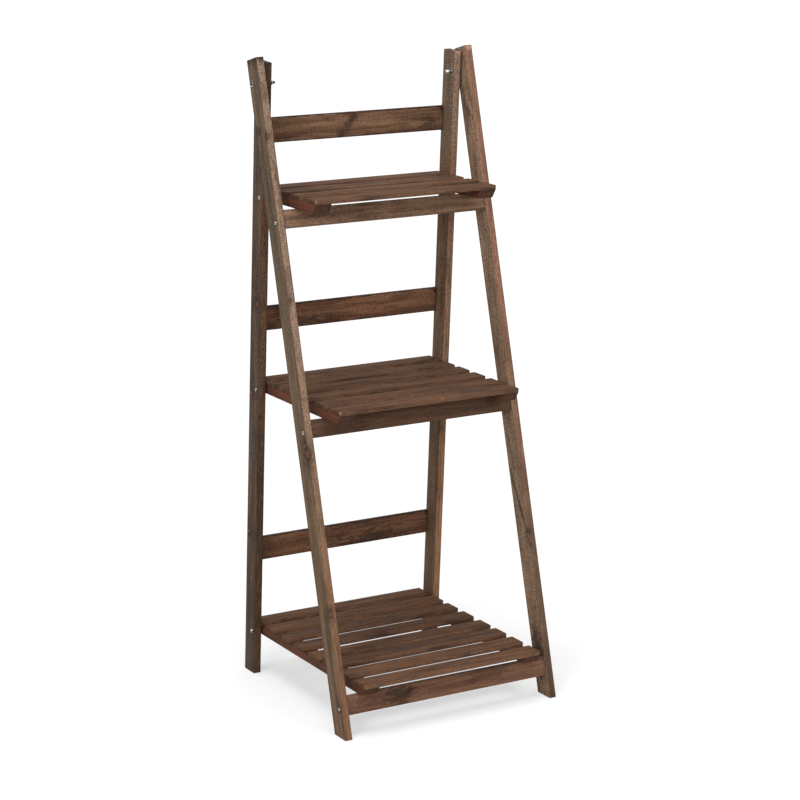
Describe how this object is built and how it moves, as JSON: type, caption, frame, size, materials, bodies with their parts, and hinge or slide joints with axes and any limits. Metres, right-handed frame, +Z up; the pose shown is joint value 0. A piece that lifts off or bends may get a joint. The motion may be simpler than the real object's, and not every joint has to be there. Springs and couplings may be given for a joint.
{
  "type": "folding ladder plant stand",
  "caption": "Wooden A-frame ladder stand with slatted shelves that deepen towards the floor; the shelves lift up and the front legs swing back to fold it flat.",
  "frame": {"origin": "on the floor, below the middle of the overall box", "axes": "+Z up, the open front faces -Y, +X is the right-hand side seen from the front"},
  "size_m": [0.4082, 0.3954, 1.063],
  "materials": {
    "rear_leg_wood": "weathered grey-brown stain, fine saw marks on the inner faces",
    "front_leg_wood": "thin tan stain, paler front edges",
    "rail_wood": "reddish brown stain, matt",
    "slat_wood": "reddish brown stain with dark grain lines, matt",
    "bearer_wood": "redder, fresher stain where the light reaches less, matt",
    "dowel_wood": "plain, hidden in the joints",
    "zinc_steel": "dull zinc plate",
    "stained_steel": "nail heads covered by the brown stain",
    "spacer_nylon": "black nylon, matt"
  },
  "bodies": {
    "rear_frame": {"rear_leg_left": "rear_leg_wood", "rear_leg_right": "rear_leg_wood", "back_rail_top": "rail_wood", "back_rail_middle": "rail_wood", "back_rail_bottom": "rail_wood", "back_rail_dowels": "dowel_wood", "pivot_bolts": "zinc_steel", "pivot_spacers": "spacer_nylon", "pivot_washers": "zinc_steel", "pivot_nuts": "zinc_steel"},
    "front_frame": {"front_leg_left": "front_leg_wood", "front_leg_right": "front_leg_wood", "front_rail_top": "rail_wood", "front_rail_middle": "rail_wood", "front_rail_bottom": "rail_wood", "front_rail_screws": "zinc_steel"},
    "top_shelf": {"top_bearer_left": "bearer_wood", "top_bearer_right": "bearer_wood", "top_slat_1": "slat_wood", "top_slat_2": "slat_wood", "top_slat_3": "slat_wood", "top_slat_4": "slat_wood", "top_slat_nails": "stained_steel", "top_shelf_screws": "zinc_steel"},
    "middle_shelf": {"middle_bearer_left": "bearer_wood", "middle_bearer_right": "bearer_wood", "middle_slat_1": "slat_wood", "middle_slat_2": "slat_wood", "middle_slat_3": "slat_wood", "middle_slat_4": "slat_wood", "middle_slat_5": "slat_wood", "middle_slat_6": "slat_wood", "middle_slat_nails": "stained_steel", "middle_shelf_screws": "zinc_steel"},
    "bottom_shelf": {"bottom_bearer_left": "bearer_wood", "bottom_bearer_right": "bearer_wood", "bottom_slat_1": "slat_wood", "bottom_slat_2": "slat_wood", "bottom_slat_3": "slat_wood", "bottom_slat_4": "slat_wood", "bottom_slat_5": "slat_wood", "bottom_slat_6": "slat_wood", "bottom_slat_7": "slat_wood", "bottom_slat_8": "slat_wood", "bottom_slat_nails": "stained_steel", "bottom_shelf_screws": "zinc_steel"}
  },
  "joints": [
    {"name": "front_frame_fold", "type": "hinge", "parent": "rear_frame", "child": "front_frame", "pos_m": [0, 0.10307, 1.01875], "axis": [1, 0, 0], "range_deg": [0, 18.7]},
    {"name": "top_shelf_lift", "type": "hinge", "parent": "rear_frame", "child": "top_shelf", "pos_m": [0, 0.11551, 0.8315], "axis": [-1, 0, 0], "range_deg": [0, 86.2]},
    {"name": "middle_shelf_lift", "type": "hinge", "parent": "rear_frame", "child": "middle_shelf", "pos_m": [0, 0.13713, 0.506], "axis": [-1, 0, 0], "range_deg": [0, 86.2]},
    {"name": "bottom_shelf_lift", "type": "hinge", "parent": "rear_frame", "child": "bottom_shelf", "pos_m": [0, 0.16569, 0.076], "axis": [-1, 0, 0], "range_deg": [0, 86.2]}
  ]
}
